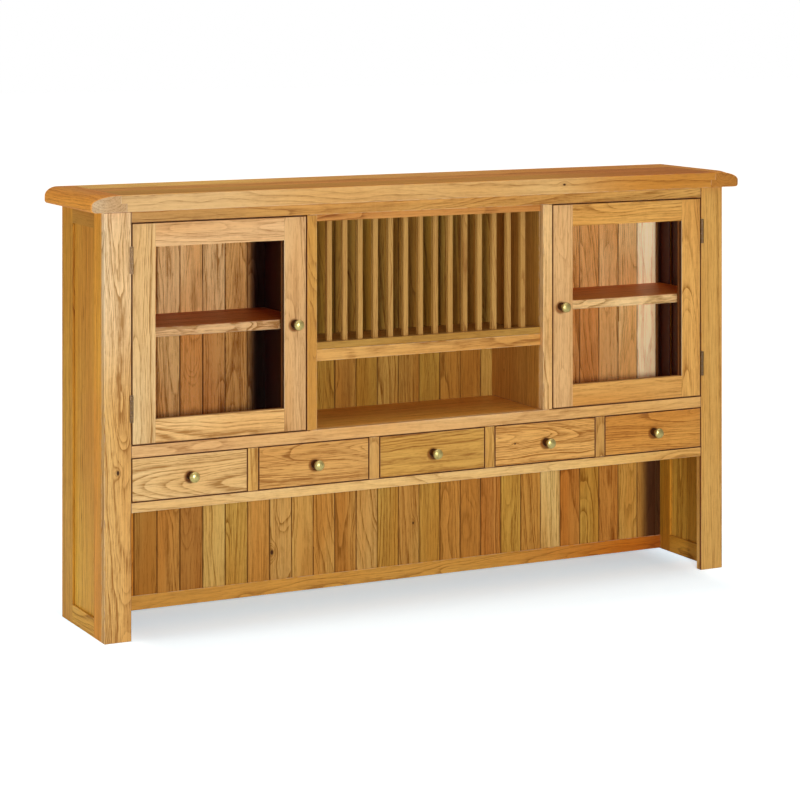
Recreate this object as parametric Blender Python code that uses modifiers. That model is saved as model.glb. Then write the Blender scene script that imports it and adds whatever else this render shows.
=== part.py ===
# A free-standing oak dresser top: a plate rack over an open bay, between two glazed
# cupboards, above five drawers and an open lower bay. Metres, +Z up, the front faces -Y.
# The origin is on the floor, under the middle of the whole object.

import math

import bmesh
import bpy
from mathutils import Matrix, Vector

# Seat: the clearance that is left between two pieces that touch
SEAT = 0.0003
# Small bevel on the edges of the boards
ARRIS = 0.001

# The case, without the top
CASE_WIDTH = 1.700
CASE_DEPTH = 0.291
CASE_HEIGHT = 0.991

# The top and its two breadboard ends
TOP_THICK = 0.039
TOP_END_OVERHANG = 0.039
TOP_FRONT_OVERHANG = 0.020
TOP_REAR_OVERHANG = 0.020
TOP_END_WIDTH = 0.072
TOP_LAP = 0.015
TOP_EDGE_RADIUS = 0.0035
TOP_CORNER_RADIUS = 0.008
TOP_NOSE_WIDTH = 0.032
TOP_NOSE_DROP = 0.022
TOP_FRONT_NOSE_WIDTH = 0.070
TOP_FRONT_NOSE_DROP = 0.0215
TOP_NOSE_REACH = 0.060
TOP_UNDER_RADIUS = 0.007

# The face frame
FRAME_THICK = 0.020
POST_WIDTH = 0.066
TOP_RAIL_HEIGHT = 0.0274
MIDDLE_RAIL_TOP = 0.4498
MIDDLE_RAIL_HEIGHT = 0.0285
DRAWER_OPENING_HEIGHT = 0.1026
LOWER_RAIL_HEIGHT = 0.0235
DOOR_OPENING_WIDTH = 0.445
MULLION_WIDTH = 0.027

# The sides
SIDE_THICK = 0.020
SIDE_FRONT_STILE = 0.070
SIDE_REAR_STILE = 0.0745
SIDE_TOP_RAIL = 0.042
SIDE_BOTTOM_RAIL = 0.045
SIDE_PANEL_THICK = 0.008
SIDE_PANEL_TONGUE = 0.008

# The back
BACK_INSET = 0.015
BOARD_THICK = 0.012
BOARD_PITCH = 0.05976
FIRST_BOARD_WIDTH = 0.0337
BOARD_V_WIDTH = 0.0045
BOARD_V_DEPTH = 0.0025
BOARD_TONGUE = 0.008
BACK_RAIL_HEIGHT = 0.035
BACK_RAIL_THICK = 0.018
BACK_RAIL_PROUD = 0.002
BACK_RAIL_FOOT = 0.002

# Inside boards
PARTITION_THICK = 0.020
DECK_THICK = 0.018
SHELF_TOP = 0.715
SHELF_THICK = 0.0225
SHELF_SETBACK = 0.030
DRAWER_FLOOR_THICK = 0.012
GUIDE_HEIGHT = 0.030

# The plate rack and its shelf
RACK_SETBACK = 0.012
RACK_SHELF_TOP = 0.640
RACK_SHELF_EDGE = 0.0285
RACK_SHELF_THICK = 0.018
RACK_LIP_DEPTH = 0.020
RACK_RAIL_DEPTH = 0.036
RACK_RAIL_HEIGHT = 0.0165
SLAT_PITCH = 0.0412
SLAT_WIDTH = 0.0125
SLAT_DEPTH = 0.012
SLAT_TENON = 0.006
SLAT_END_SPACE = 0.030

# The doors
DOOR_GAP = 0.002
DOOR_THICK = 0.020
DOOR_STILE = 0.057
DOOR_TOP_RAIL = 0.055
DOOR_BOTTOM_RAIL = 0.055
GLASS_LIP = 0.011
GLASS_THICK = 0.004
GLASS_REBATE = 0.008
LEFT_KNOB_FROM_EDGE = 0.031
RIGHT_KNOB_FROM_EDGE = 0.022

# The hinges
HINGE_HEIGHT = 0.0625
HINGE_FROM_END = 0.0525
KNUCKLE_COUNT = 5
KNUCKLE_RADIUS = 0.0040
KNUCKLE_GAP = 0.0004
PIN_RADIUS = 0.0015
LEAF_WIDTH = 0.016
LEAF_THICK = 0.0014
LEAF_SPACE = 0.0004
LEAF_WRAP = 0.0002
HINGE_SIDES = 16

# The drawers
DRAWER_COUNT = 5
DIVIDER_WIDTH = 0.028
DRAWER_GAP = 0.0015
DRAWER_FRONT_THICK = 0.020
DRAWER_SIDE_CLEAR = 0.002
DRAWER_BACK_ROOM = 0.0187
DRAWER_BOX_HEIGHT = 0.084
DRAWER_WALL = 0.010
DRAWER_BOTTOM_THICK = 0.008

# The brass knobs
KNOB_PROJECTION = 0.035
KNOB_HEAD_RADIUS = 0.013
KNOB_DOME = 0.0070
KNOB_UNDERCUT = 0.006
KNOB_NECK_RADIUS = 0.0050
KNOB_FOOT_RADIUS = 0.0078
KNOB_ROSE_RADIUS = 0.0095
KNOB_ROSE_THICK = 0.0025
KNOB_STEPS = 20

# Places that follow from the sizes above
HALF = CASE_WIDTH / 2
POST_EDGE = HALF - POST_WIDTH
INNER = HALF - SIDE_THICK
CASE_TOP = CASE_HEIGHT - SEAT
TOP_RAIL_BOTTOM = CASE_HEIGHT - TOP_RAIL_HEIGHT
MIDDLE_RAIL_BOTTOM = MIDDLE_RAIL_TOP - MIDDLE_RAIL_HEIGHT
LOWER_RAIL_TOP = MIDDLE_RAIL_BOTTOM - DRAWER_OPENING_HEIGHT
LOWER_RAIL_BOTTOM = LOWER_RAIL_TOP - LOWER_RAIL_HEIGHT
MULLION_OUTER = POST_EDGE - DOOR_OPENING_WIDTH
MULLION_INNER = MULLION_OUTER - MULLION_WIDTH
FRONT = (max(KNOB_PROJECTION, TOP_FRONT_OVERHANG) - CASE_DEPTH - TOP_REAR_OVERHANG) / 2
FRAME_BACK = FRONT + FRAME_THICK + SEAT
BOARD_FACE = FRONT + CASE_DEPTH - BACK_INSET - BOARD_THICK
DRAWER_OPENING_WIDTH = (2 * POST_EDGE - (DRAWER_COUNT - 1) * DIVIDER_WIDTH) / DRAWER_COUNT
DRAWER_PITCH = DRAWER_OPENING_WIDTH + DIVIDER_WIDTH
DOOR_HINGE_EDGE = POST_EDGE - DOOR_GAP
DOOR_FREE_EDGE = MULLION_OUTER + DOOR_GAP
DOOR_BOTTOM = MIDDLE_RAIL_TOP + DOOR_GAP
DOOR_TOP = TOP_RAIL_BOTTOM - DOOR_GAP
HINGE_GAP = POST_EDGE - DOOR_GAP / 2
PIN_X = HINGE_GAP - LEAF_SPACE - LEAF_THICK - LEAF_WRAP + KNUCKLE_RADIUS
PIN_Y = FRONT - KNUCKLE_RADIUS - SEAT

# Colours and surfaces of the pieces
OAK_FRONT = (0.63, 0.37, 0.13)
OAK_SIDE = (0.45, 0.21, 0.05)
OAK_INSIDE = (0.50, 0.26, 0.08)
OAK_BOARDS = (0.55, 0.31, 0.11)
BRASS = (0.62, 0.50, 0.22)
GLASS = (0.85, 0.90, 0.88)

SIDES = (("left", -1), ("right", 1))


def clear_scene():
    for obj in list(bpy.data.objects):
        bpy.data.objects.remove(obj, do_unlink=True)


def new_group(name):
    group = bpy.data.collections.new(name)
    bpy.context.scene.collection.children.link(group)
    return group


def finish(obj, colour, roughness, metallic=0.0):
    material = bpy.data.materials.new(obj.name)
    material.use_nodes = True
    shader = material.node_tree.nodes["Principled BSDF"]
    shader.inputs["Base Color"].default_value = (*colour, 1.0)
    shader.inputs["Roughness"].default_value = roughness
    shader.inputs["Metallic"].default_value = metallic
    obj.data.materials.clear()
    obj.data.materials.append(material)


def place(obj, centre, parent=None):
    # A child keeps its world place: its location is counted from its parent's
    obj.location = Vector(centre)
    if parent:
        obj.parent = parent
        obj.location = Vector(centre) - parent.location


def bevel(obj, width, segments=1):
    edge = obj.modifiers.new("Arris", "BEVEL")
    edge.width = width
    edge.segments = segments
    edge.limit_method = "ANGLE"
    edge.angle_limit = math.radians(40)


def add_box(mesh, lo, hi):
    size = Vector(hi) - Vector(lo)
    centre = (Vector(hi) + Vector(lo)) / 2
    shape = Matrix.Translation(centre) @ Matrix.Diagonal((*size, 1.0))
    bmesh.ops.create_cube(mesh, size=1.0, matrix=shape)


def add_cylinder(mesh, centre, radius, height):
    bmesh.ops.create_cone(mesh, cap_ends=True, segments=HINGE_SIDES, radius1=radius,
                          radius2=radius, depth=height, matrix=Matrix.Translation(centre))


def mesh_object(name, fill, centre, group, parent=None):
    # fill adds the shape to a bmesh, in coordinates counted from the centre
    mesh = bmesh.new()
    fill(mesh)
    data = bpy.data.meshes.new(name)
    mesh.to_mesh(data)
    mesh.free()
    obj = bpy.data.objects.new(name, data)
    group.objects.link(obj)
    place(obj, centre, parent)
    return obj


def boxes(name, corners, group, parent=None):
    # One object of one or more boxes, its origin in the middle of the first
    centre = (Vector(corners[0][0]) + Vector(corners[0][1])) / 2

    def fill(mesh):
        for lo, hi in corners:
            add_box(mesh, Vector(lo) - centre, Vector(hi) - centre)
    return mesh_object(name, fill, centre, group, parent)


def board(name, lo, hi, colour=OAK_FRONT, parent=None, arris=ARRIS):
    obj = boxes(name, [(lo, hi)], PARTS, parent)
    bevel(obj, arris)
    finish(obj, colour, 0.42)
    return obj


def as_tool(obj):
    obj.hide_render = True
    obj.display_type = "WIRE"
    return obj


def tool_box(name, lo, hi, parent=None):
    return as_tool(boxes(name, [(lo, hi)], TOOLS, parent))


def combine(obj, tool, operation):
    step = obj.modifiers.new(tool.name, "BOOLEAN")
    step.operation = operation
    step.solver = "EXACT"
    step.object = tool


def cut(obj, tool):
    combine(obj, tool, "DIFFERENCE")


def unite(obj, tool):
    combine(obj, tool, "UNION")


def extruded(name, points, axis, start, end, colour, arris=ARRIS):
    # A flat outline, filled and extruded along an axis. The points are (y, z) for X,
    # (x, z) for Y and (x, y) for Z.
    turns = {"X": ((0, 0, 1), (1, 0, 0), (0, 1, 0)),
             "Y": ((1, 0, 0), (0, 0, -1), (0, 1, 0)),
             "Z": ((1, 0, 0), (0, 1, 0), (0, 0, 1))}
    middle = (start + end) / 2
    centre = {"X": (middle, 0, 0), "Y": (0, middle, 0), "Z": (0, 0, middle)}[axis]
    curve = bpy.data.curves.new(name, "CURVE")
    curve.dimensions = "2D"
    curve.fill_mode = "BOTH"
    curve.extrude = (end - start) / 2
    line = curve.splines.new("POLY")
    line.points.add(len(points) - 1)
    for point, (u, v) in zip(line.points, points):
        point.co = (u, v, 0.0, 1.0)
    line.use_cyclic_u = True
    drawn = bpy.data.objects.new(name + "_outline", curve)
    PARTS.objects.link(drawn)
    drawn.matrix_world = Matrix.Translation(centre) @ Matrix(turns[axis]).to_4x4()
    bpy.context.view_layer.update()
    depsgraph = bpy.context.evaluated_depsgraph_get()
    data = bpy.data.meshes.new_from_object(drawn.evaluated_get(depsgraph))
    mesh = bmesh.new()
    mesh.from_mesh(data)
    bmesh.ops.remove_doubles(mesh, verts=mesh.verts, dist=0.00001)
    bmesh.ops.recalc_face_normals(mesh, faces=mesh.faces)
    bmesh.ops.dissolve_limit(mesh, angle_limit=0.001, verts=mesh.verts, edges=mesh.edges)
    mesh.to_mesh(data)
    mesh.free()
    data.name = name
    obj = bpy.data.objects.new(name, data)
    obj.matrix_world = drawn.matrix_world
    PARTS.objects.link(obj)
    bpy.data.objects.remove(drawn, do_unlink=True)
    if arris:
        bevel(obj, arris)
    finish(obj, colour, 0.42)
    return obj


def smooth(obj, degrees):
    obj.data.shade_smooth()
    obj.data.set_sharp_from_angle(angle=math.radians(degrees))


def quarter(centre, radius, first, steps=4):
    # Points of a quarter circle that turns counterclockwise from the first angle
    turn = [math.radians(first + 90 * step / steps) for step in range(steps + 1)]
    return [(centre[0] + radius * math.cos(t), centre[1] + radius * math.sin(t)) for t in turn]


def span(side, near, far):
    # Two distances from the middle, as low and high X on one side
    return (near, far) if side > 0 else (-far, -near)


# The top


def top_depths():
    return FRONT - TOP_FRONT_OVERHANG, FRONT + CASE_DEPTH + TOP_REAR_OVERHANG


def make_top_board():
    front, rear = top_depths()
    low = CASE_HEIGHT
    high = CASE_HEIGHT + TOP_THICK
    radius = TOP_EDGE_RADIUS
    joint = HALF + TOP_END_OVERHANG - TOP_END_WIDTH
    outline = [(front, low), (rear, low)]
    outline += quarter((rear - radius, high - radius), radius, 0)
    outline += quarter((front + radius, high - radius), radius, 90)
    obj = extruded("top_board", outline, "X", -joint, joint, OAK_FRONT, arris=0.0)
    middle = CASE_HEIGHT + TOP_THICK / 2
    for name, side in SIDES:
        x0, x1 = span(side, joint - TOP_LAP - SEAT, joint + TOP_LAP)
        lap = tool_box(name + "_lap", (x0, front - TOP_LAP, low - TOP_LAP),
                       (x1, rear + TOP_LAP, middle))
        cut(obj, lap)
    smooth(obj, 35)


def nose_section(side, y):
    # Outline of a breadboard end at one depth: the upper corner is a quarter ellipse, and it
    # widens towards the front. The edges and the upright corners are rounded as well.
    front, rear = top_depths()
    from_front = y - front
    from_end = min(from_front, rear - y)
    lowered = 0.0
    if from_end < TOP_EDGE_RADIUS:
        lowered = TOP_EDGE_RADIUS - math.sqrt(
            TOP_EDGE_RADIUS ** 2 - (TOP_EDGE_RADIUS - from_end) ** 2)
    drawn_in = 0.0
    if from_end < TOP_CORNER_RADIUS:
        drawn_in = TOP_CORNER_RADIUS - math.sqrt(
            TOP_CORNER_RADIUS ** 2 - (TOP_CORNER_RADIUS - from_end) ** 2)
    share = max(0.0, 1 - from_front / TOP_NOSE_REACH)
    share = share * share * (3 - 2 * share)
    width = TOP_NOSE_WIDTH + (TOP_FRONT_NOSE_WIDTH - TOP_NOSE_WIDTH) * share - drawn_in
    drop = TOP_NOSE_DROP + (TOP_FRONT_NOSE_DROP - TOP_NOSE_DROP) * share
    low = CASE_HEIGHT
    middle = low + TOP_THICK / 2 - SEAT
    high = low + TOP_THICK - lowered
    end = HALF + TOP_END_OVERHANG - drawn_in
    joint = HALF + TOP_END_OVERHANG - TOP_END_WIDTH
    points = [(joint + SEAT, high), (joint + SEAT, middle), (joint - TOP_LAP, middle),
              (joint - TOP_LAP, low)]
    under = TOP_UNDER_RADIUS
    points += quarter((end - under, low + under), under, 270, 4)
    for step in range(13):
        turn = math.radians(90 * step / 12)
        points.append((end - width + width * math.cos(turn),
                       high - drop + drop * math.sin(turn)))
    return [(side * x, z) for x, z in points]


def nose_stations():
    # Depths of the sections: close together where the edge and the corners turn
    front, rear = top_depths()
    turns = [1 - math.cos(math.radians(angle)) for angle in (0, 30, 50, 70, 90)]
    near = [TOP_EDGE_RADIUS * t for t in turns]
    near += [TOP_EDGE_RADIUS + (TOP_CORNER_RADIUS - TOP_EDGE_RADIUS) * t for t in (0.4, 1.0)]
    reach = [TOP_CORNER_RADIUS + (TOP_NOSE_REACH - TOP_CORNER_RADIUS) * step / 7
             for step in range(1, 8)]
    stations = [front + d for d in near + reach]
    stations += [rear - d for d in reversed(near)]
    return stations


def make_top_end(name, side):
    sections = [[(x, y, z) for x, z in nose_section(side, y)] for y in nose_stations()]
    count = len(sections[0])
    centre = Vector((side * (HALF + TOP_END_OVERHANG - TOP_END_WIDTH / 2), 0.0,
                     CASE_HEIGHT + TOP_THICK / 2))

    def fill(mesh):
        rings = [[mesh.verts.new(Vector(p) - centre) for p in row] for row in sections]
        for ring, following in zip(rings, rings[1:]):
            for i in range(count):
                j = (i + 1) % count
                mesh.faces.new((ring[i], ring[j], following[j], following[i]))
        mesh.faces.new(rings[0])
        mesh.faces.new(rings[-1])
        bmesh.ops.remove_doubles(mesh, verts=mesh.verts, dist=0.00001)
        bmesh.ops.recalc_face_normals(mesh, faces=mesh.faces)
    obj = mesh_object("top_end_" + name, fill, centre, PARTS)
    smooth(obj, 35)
    finish(obj, OAK_FRONT, 0.42)


# The face frame


def make_post(name, side):
    x0, x1 = span(side, POST_EDGE, HALF)
    post = board(name + "_post", (x0, FRONT, 0.0), (x1, FRONT + FRAME_THICK, CASE_TOP))
    for place_name, low in hinge_places():
        cut(post, leaf_pocket(name + "_post_" + place_name, side, low, POST_EDGE, 1))


def make_face_rails():
    across = POST_EDGE - SEAT
    back = FRONT + FRAME_THICK
    board("top_rail", (-across, FRONT, TOP_RAIL_BOTTOM), (across, back, CASE_TOP))
    board("middle_rail", (-across, FRONT, MIDDLE_RAIL_BOTTOM), (across, back, MIDDLE_RAIL_TOP))
    board("lower_rail", (-across, FRONT, LOWER_RAIL_BOTTOM), (across, back, LOWER_RAIL_TOP))


def make_mullion(name, side):
    x0, x1 = span(side, MULLION_INNER, MULLION_OUTER)
    board(name + "_mullion", (x0, FRONT, MIDDLE_RAIL_TOP + SEAT),
          (x1, FRONT + FRAME_THICK, TOP_RAIL_BOTTOM - SEAT))


# The sides and the inside boards


def make_side(name, side):
    x0, x1 = span(side, INNER, HALF)
    rear = FRONT + CASE_DEPTH
    frame = board(name + "_side_frame", (x0, FRAME_BACK, 0.0), (x1, rear, CASE_TOP), OAK_SIDE)
    lo = Vector((x0, FRONT + SIDE_FRONT_STILE, SIDE_BOTTOM_RAIL))
    hi = Vector((x1, rear - SIDE_REAR_STILE, CASE_HEIGHT - SIDE_TOP_RAIL))
    through = Vector((SIDE_THICK, 0, 0))
    cut(frame, tool_box(name + "_side_window", lo - through, hi + through))
    middle = side * (HALF - SIDE_THICK / 2)
    tongue = Vector((0, SIDE_PANEL_TONGUE, SIDE_PANEL_TONGUE))
    thick = Vector((SIDE_PANEL_THICK / 2, 0, 0))
    room = Vector((SEAT, SEAT, SEAT))
    lo.x = middle
    hi.x = middle
    cut(frame, tool_box(name + "_side_groove", lo - tongue - thick - room,
                        hi + tongue + thick + room))
    board(name + "_side_panel", lo - tongue - thick, hi + tongue + thick, OAK_SIDE)


def make_partition(name, side):
    x0, x1 = span(side, MULLION_INNER, MULLION_INNER + PARTITION_THICK)
    board(name + "_partition", (x0, FRAME_BACK, MIDDLE_RAIL_TOP + SEAT),
          (x1, BOARD_FACE - SEAT, CASE_TOP), OAK_INSIDE)


def make_shelf(name, side):
    x0, x1 = span(side, MULLION_INNER + PARTITION_THICK + SEAT, INNER - SEAT)
    board(name + "_shelf", (x0, FRONT + SHELF_SETBACK, SHELF_TOP - SHELF_THICK),
          (x1, BOARD_FACE - SEAT, SHELF_TOP), OAK_INSIDE)


def make_deck():
    across = INNER - SEAT
    board("deck", (-across, FRAME_BACK, MIDDLE_RAIL_TOP - DECK_THICK),
          (across, BOARD_FACE - SEAT, MIDDLE_RAIL_TOP), OAK_INSIDE)


def make_drawer_floor():
    # The dust panel, with a guide at each end that fills the space behind the post
    across = INNER - SEAT
    low = LOWER_RAIL_TOP - DRAWER_FLOOR_THICK
    guide = LOWER_RAIL_TOP + GUIDE_HEIGHT
    outline = [(-across, low), (across, low), (across, guide), (POST_EDGE, guide),
               (POST_EDGE, LOWER_RAIL_TOP), (-POST_EDGE, LOWER_RAIL_TOP),
               (-POST_EDGE, guide), (-across, guide)]
    extruded("drawer_floor", outline, "Y", FRAME_BACK, BOARD_FACE - SEAT, OAK_INSIDE)


def make_divider(number):
    # The stile between two drawers, and the guide strip that runs back from it
    centre = -POST_EDGE + number * DRAWER_PITCH - DIVIDER_WIDTH / 2
    low = LOWER_RAIL_TOP + SEAT
    stile = FRONT + FRAME_THICK
    rear = BOARD_FACE - SEAT
    outline = [(FRONT, low), (rear, low), (rear, low + GUIDE_HEIGHT),
               (stile, low + GUIDE_HEIGHT), (stile, MIDDLE_RAIL_BOTTOM - SEAT),
               (FRONT, MIDDLE_RAIL_BOTTOM - SEAT)]
    extruded("drawer_divider_%d" % number, outline, "X", centre - DIVIDER_WIDTH / 2,
             centre + DIVIDER_WIDTH / 2, OAK_FRONT)


# The back


def board_joints():
    # Middles of the V joints between the back boards, from the left
    joints = []
    x = -INNER + FIRST_BOARD_WIDTH
    while x < INNER - BOARD_V_WIDTH:
        joints.append(x)
        x += BOARD_PITCH
    return joints


def make_back_boards():
    across = INNER - SEAT
    rear = BOARD_FACE + BOARD_THICK
    outline = [(across, rear), (-across, rear), (-across, BOARD_FACE)]
    for x in board_joints():
        outline.append((x - BOARD_V_WIDTH / 2, BOARD_FACE))
        outline.append((x, BOARD_FACE + BOARD_V_DEPTH))
        outline.append((x + BOARD_V_WIDTH / 2, BOARD_FACE))
    outline.append((across, BOARD_FACE))
    low = BACK_RAIL_FOOT + BACK_RAIL_HEIGHT - BOARD_TONGUE
    extruded("back_boards", outline, "Z", low, CASE_TOP, OAK_BOARDS, arris=0.0)


def make_back_rails():
    # The bottom rail holds the boards in a groove; the top rail lies behind them
    across = INNER - SEAT
    face = BOARD_FACE - BACK_RAIL_PROUD
    rear = face + BACK_RAIL_THICK
    low = BACK_RAIL_FOOT
    high = low + BACK_RAIL_HEIGHT
    groove = high - BOARD_TONGUE - SEAT
    near = BOARD_FACE - SEAT
    far = BOARD_FACE + BOARD_THICK + SEAT
    outline = [(face, low), (rear, low), (rear, high), (far, high), (far, groove),
               (near, groove), (near, high), (face, high)]
    extruded("back_bottom_rail", outline, "X", -across, across, OAK_FRONT, arris=0.0)
    board("back_top_rail", (-across, far, CASE_TOP - BACK_RAIL_HEIGHT),
          (across, FRONT + CASE_DEPTH, CASE_TOP), OAK_BOARDS)


# The plate rack


def make_rack_shelf():
    across = MULLION_INNER - SEAT
    face = FRONT + RACK_SETBACK
    lip = face + RACK_LIP_DEPTH
    rear = BOARD_FACE - SEAT
    edge = RACK_SHELF_TOP - RACK_SHELF_EDGE
    under = RACK_SHELF_TOP - RACK_SHELF_THICK
    outline = [(face, edge), (lip, edge), (lip, under), (rear, under),
               (rear, RACK_SHELF_TOP), (face, RACK_SHELF_TOP)]
    extruded("rack_shelf", outline, "X", -across, across, OAK_FRONT)


def slat_centres():
    # As many slats as the bay takes at their pitch, with room left at its two ends
    room = 2 * MULLION_INNER - SLAT_WIDTH - 2 * SLAT_END_SPACE
    steps = int(room / SLAT_PITCH)
    return [SLAT_PITCH * (number - steps / 2) for number in range(steps + 1)]


def make_plate_rack():
    # Two rails, with the slats tenoned into them
    across = MULLION_INNER - SEAT
    face = FRONT + RACK_SETBACK
    rear = face + RACK_RAIL_DEPTH
    low = RACK_SHELF_TOP + SEAT
    high = TOP_RAIL_BOTTOM - SEAT
    rack = board("plate_rack", (-across, face, low), (across, rear, low + RACK_RAIL_HEIGHT))
    upper = tool_box("rack_upper_rail", (-across, face, high - RACK_RAIL_HEIGHT),
                     (across, rear, high))
    bevel(upper, ARRIS)
    slat_face = (face + rear - SLAT_DEPTH) / 2
    corners = []
    for x in slat_centres():
        corners.append(((x - SLAT_WIDTH / 2, slat_face, low + RACK_RAIL_HEIGHT - SLAT_TENON),
                        (x + SLAT_WIDTH / 2, slat_face + SLAT_DEPTH,
                         high - RACK_RAIL_HEIGHT + SLAT_TENON)))
    slats = as_tool(boxes("rack_slats", corners, TOOLS))
    unite(slats, upper)
    unite(rack, slats)


# The doors and their hinges


def hinge_places():
    return (("lower", DOOR_BOTTOM + HINGE_FROM_END),
            ("upper", DOOR_TOP - HINGE_FROM_END - HINGE_HEIGHT))


def leaf_pocket(name, side, low, edge, away, parent=None):
    # The mortise for a leaf, in the edge of a post (away 1) or of a door (away -1)
    leaf_back = HINGE_GAP + away * (LEAF_SPACE + LEAF_THICK + SEAT)
    x0, x1 = span(side, min(leaf_back, edge - away * LEAF_WIDTH),
                  max(leaf_back, edge - away * LEAF_WIDTH))
    lo = (x0, FRONT - LEAF_WIDTH, low - SEAT)
    hi = (x1, FRONT + LEAF_WIDTH + SEAT, low + HINGE_HEIGHT + SEAT)
    return tool_box(name + "_mortise", lo, hi, parent)


def knuckles(low, wanted):
    # Centres and heights of the fixed (0) or the moving (1) knuckles
    each = HINGE_HEIGHT / KNUCKLE_COUNT
    found = []
    for number in range(KNUCKLE_COUNT):
        if number % 2 == wanted:
            found.append((low + each * (number + 0.5), each - KNUCKLE_GAP))
    return found


def make_leaf(name, side, low, moving, parent=None):
    away = -1 if moving else 1
    near = HINGE_GAP + away * LEAF_SPACE
    far = near + away * LEAF_THICK
    x0, x1 = span(side, min(near, far), max(near, far))
    centre = Vector((side * PIN_X, PIN_Y, low + HINGE_HEIGHT / 2))
    leaf = boxes(name, [((x0, FRONT, low), (x1, FRONT + LEAF_WIDTH, low + HINGE_HEIGHT))],
                 PARTS, parent)
    rolls = knuckles(low, 1 if moving else 0)
    root = PIN_Y + KNUCKLE_RADIUS / 8
    # Tabs and rolls join the leaf to the pin's line: the door's leaf rolls off the knuckle's
    # inner side, and the fixed one off its middle
    tabs = boxes(name + "_tabs", [((x0, root, z - h / 2), (x1, FRONT + LEAF_THICK, z + h / 2))
                                  for z, h in rolls], TOOLS, parent)
    unite(leaf, as_tool(tabs))

    def fill(mesh):
        for z, h in rolls:
            add_cylinder(mesh, Vector((0, 0, z - centre.z)), KNUCKLE_RADIUS, h)
    barrel = mesh_object(name + "_barrel", fill, centre, TOOLS, parent)
    unite(leaf, as_tool(barrel))
    radius = PIN_RADIUS + SEAT if moving else PIN_RADIUS
    length = HINGE_HEIGHT * 1.2 if moving else HINGE_HEIGHT

    def fill_pin(mesh):
        add_cylinder(mesh, Vector(), radius, length)
    pin = as_tool(mesh_object(name + "_pin", fill_pin, centre, TOOLS, parent))
    if moving:
        cut(leaf, pin)
    else:
        unite(leaf, pin)
    smooth(leaf, 35)
    finish(leaf, BRASS, 0.35, 1.0)


def make_hinges(name, side, pivot):
    for place_name, low in hinge_places():
        start = "%s_%s_hinge" % (name, place_name)
        make_leaf(start + "_fixed_leaf", side, low, False)
        make_leaf(start + "_door_leaf", side, low, True, pivot)


def make_door(name, side, knob_from_edge):
    pivot = bpy.data.objects.new(name + "_door_pivot", None)
    PARTS.objects.link(pivot)
    pivot.location = (side * PIN_X, PIN_Y, DOOR_BOTTOM)
    x0, x1 = span(side, DOOR_FREE_EDGE, DOOR_HINGE_EDGE)
    back = FRONT + DOOR_THICK
    frame = board(name + "_door_frame", (x0, FRONT, DOOR_BOTTOM), (x1, back, DOOR_TOP),
                  parent=pivot)
    lo = Vector((x0 + DOOR_STILE, FRONT, DOOR_BOTTOM + DOOR_BOTTOM_RAIL))
    hi = Vector((x1 - DOOR_STILE, back, DOOR_TOP - DOOR_TOP_RAIL))
    through = Vector((0, DOOR_THICK, 0))
    cut(frame, tool_box(name + "_door_window", lo - through, hi + through, pivot))
    grown = Vector((GLASS_REBATE, 0, GLASS_REBATE))
    behind = Vector((0, GLASS_LIP, 0))
    cut(frame, tool_box(name + "_door_rebate", lo - grown + behind, hi + grown + through, pivot))
    for place_name, low in hinge_places():
        cut(frame, leaf_pocket(name + "_door_" + place_name, side, low, DOOR_HINGE_EDGE, -1,
                               pivot))
    room = Vector((SEAT, 0, SEAT))
    pane_lo = lo - grown + room
    pane_hi = hi + grown - room
    pane_y = FRONT + GLASS_LIP + SEAT
    glass = boxes(name + "_door_glass", [((pane_lo.x, pane_y, pane_lo.z),
                                          (pane_hi.x, pane_y + GLASS_THICK, pane_hi.z))],
                  PARTS, pivot)
    finish(glass, GLASS, 0.05)
    bead_y = pane_y + GLASS_THICK + SEAT
    bead = boxes(name + "_door_bead", [((pane_lo.x, bead_y, pane_lo.z),
                                        (pane_hi.x, back, pane_hi.z))], PARTS, pivot)
    cut(bead, tool_box(name + "_bead_window", lo - through, hi + through, pivot))
    finish(bead, OAK_FRONT, 0.42)
    knob_x = side * (DOOR_FREE_EDGE + knob_from_edge)
    make_knob(name + "_door_knob", (knob_x, FRONT, (DOOR_BOTTOM + DOOR_TOP) / 2), pivot)
    make_hinges(name, side, pivot)


# The drawers


def make_drawer(number):
    centre = -POST_EDGE + DRAWER_OPENING_WIDTH / 2 + (number - 1) * DRAWER_PITCH
    low = LOWER_RAIL_TOP + DRAWER_GAP
    high = MIDDLE_RAIL_BOTTOM - DRAWER_GAP
    slide = bpy.data.objects.new("drawer_%d_slide" % number, None)
    PARTS.objects.link(slide)
    slide.location = (centre, FRONT, (low + high) / 2)
    half = DRAWER_OPENING_WIDTH / 2 - DRAWER_GAP
    board("drawer_%d_front" % number, (centre - half, FRONT, low),
          (centre + half, FRONT + DRAWER_FRONT_THICK, high), parent=slide)
    half = DRAWER_OPENING_WIDTH / 2 - DRAWER_SIDE_CLEAR
    lo = Vector((centre - half, FRONT + DRAWER_FRONT_THICK + SEAT, LOWER_RAIL_TOP + SEAT))
    hi = Vector((centre + half, BOARD_FACE - DRAWER_BACK_ROOM, lo.z + DRAWER_BOX_HEIGHT))
    box = boxes("drawer_%d_box" % number, [(lo, hi)], PARTS, slide)
    wall = Vector((DRAWER_WALL, DRAWER_WALL, 0))
    inside_lo = lo + wall + Vector((0, 0, DRAWER_BOTTOM_THICK))
    inside_hi = hi - wall + Vector((0, 0, DRAWER_BOX_HEIGHT))
    cut(box, tool_box("drawer_%d_inside" % number, inside_lo, inside_hi, slide))
    finish(box, OAK_INSIDE, 0.55)
    make_knob("drawer_%d_knob" % number, (centre, FRONT, (low + high) / 2), slide)


# The knobs


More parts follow.
